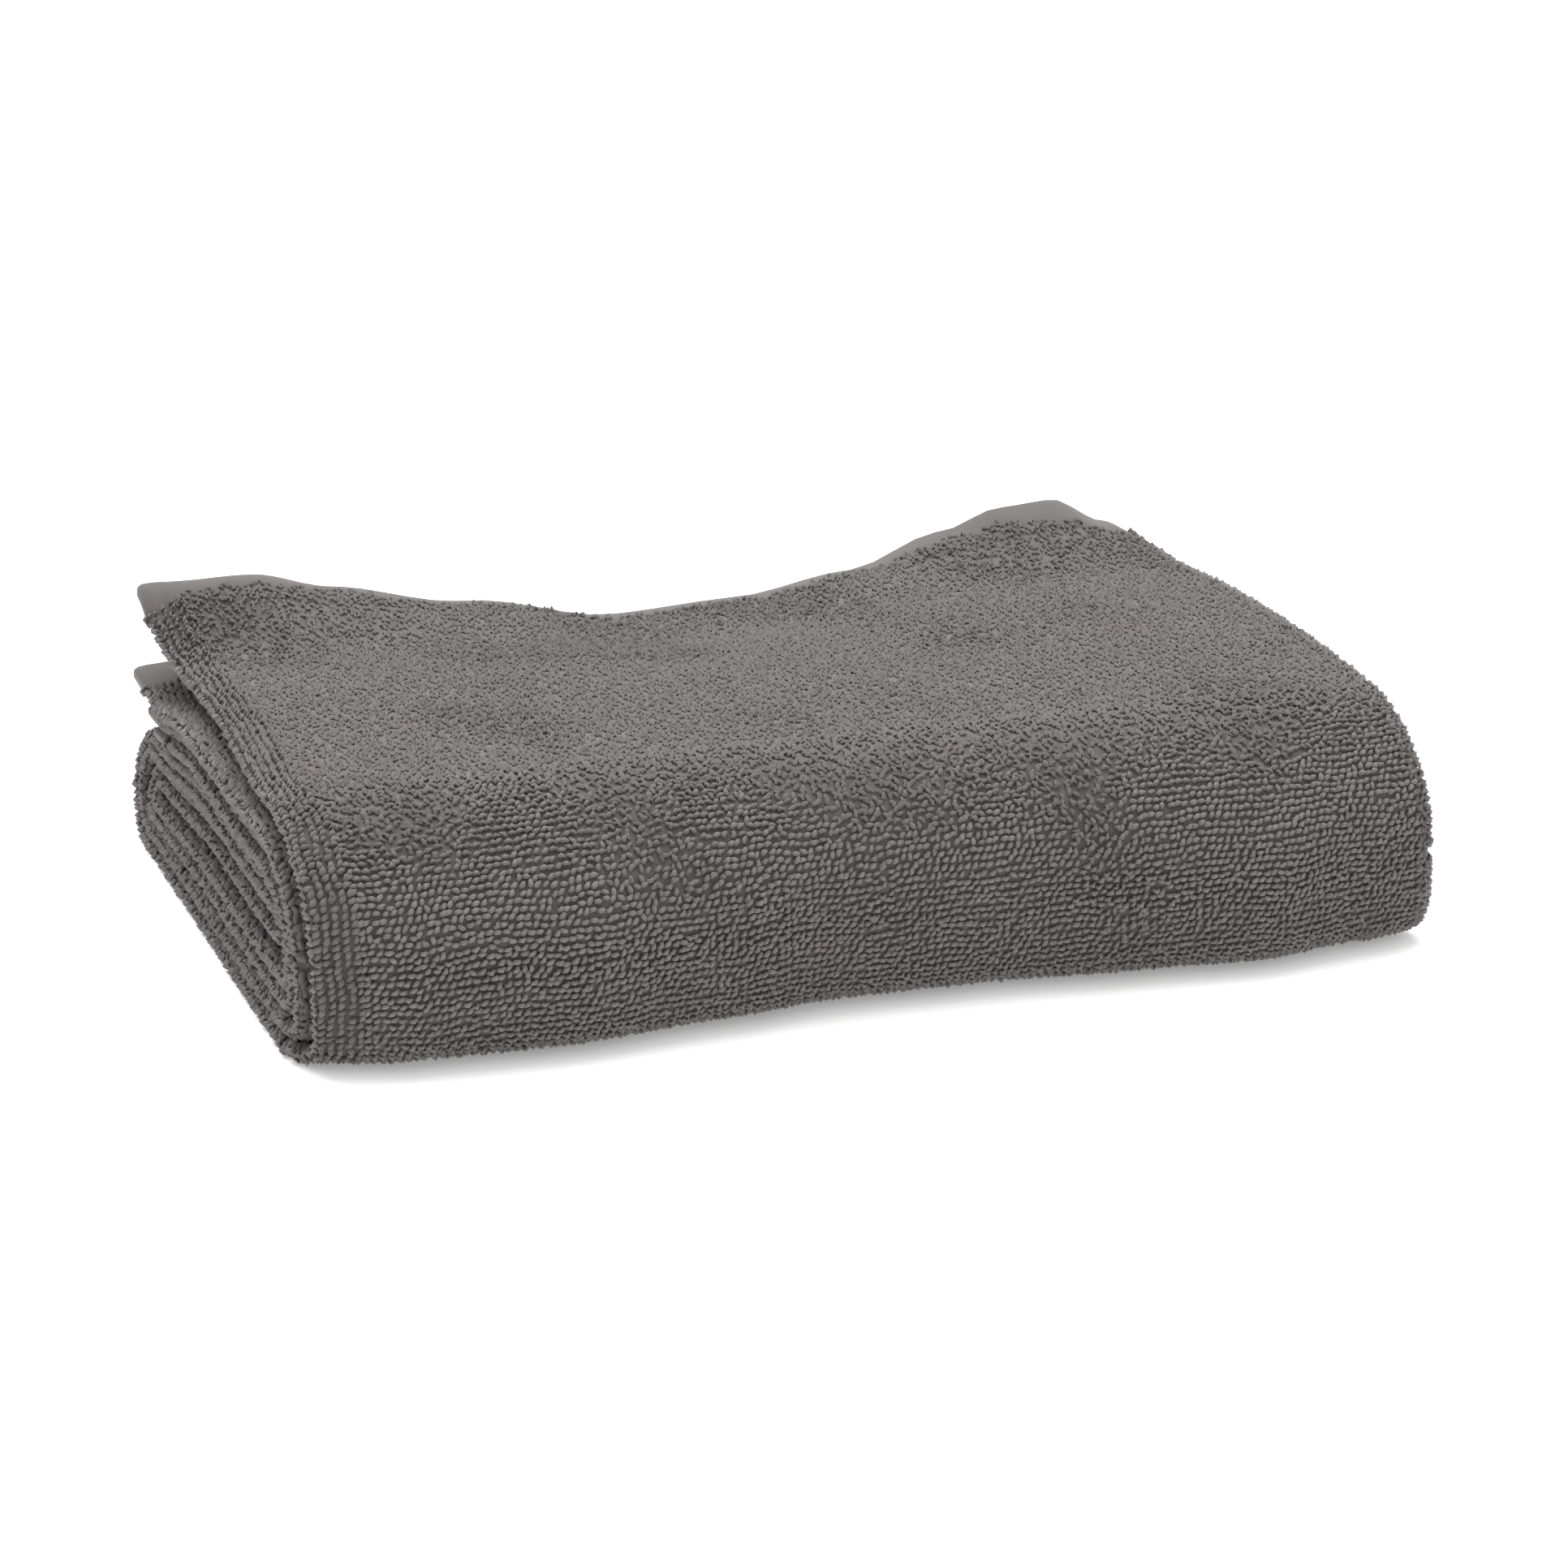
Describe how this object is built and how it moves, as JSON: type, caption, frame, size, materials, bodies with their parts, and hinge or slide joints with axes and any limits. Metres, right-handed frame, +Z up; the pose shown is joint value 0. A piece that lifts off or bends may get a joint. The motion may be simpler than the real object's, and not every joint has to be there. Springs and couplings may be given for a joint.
{
  "type": "folded bath towel",
  "caption": "Terry bath towel folded into a soft, flat stack, with layered selvedges at one end, rounded folds at the front and flat-woven hems along the back edge.",
  "frame": {"origin": "on the surface it rests on, under the middle of the folded towel's box", "axes": "+Z up, +X along the folded towel from its open selvedges to its folded end, +Y from the front fold to the hems"},
  "size_m": [0.3548, 0.2534, 0.0862],
  "materials": {
    "terry": "looped cotton pile, matte, warm mid grey, with flat-woven hems of the same yarn"
  },
  "bodies": {
    "root": {"towel": "terry"}
  },
  "joints": []
}
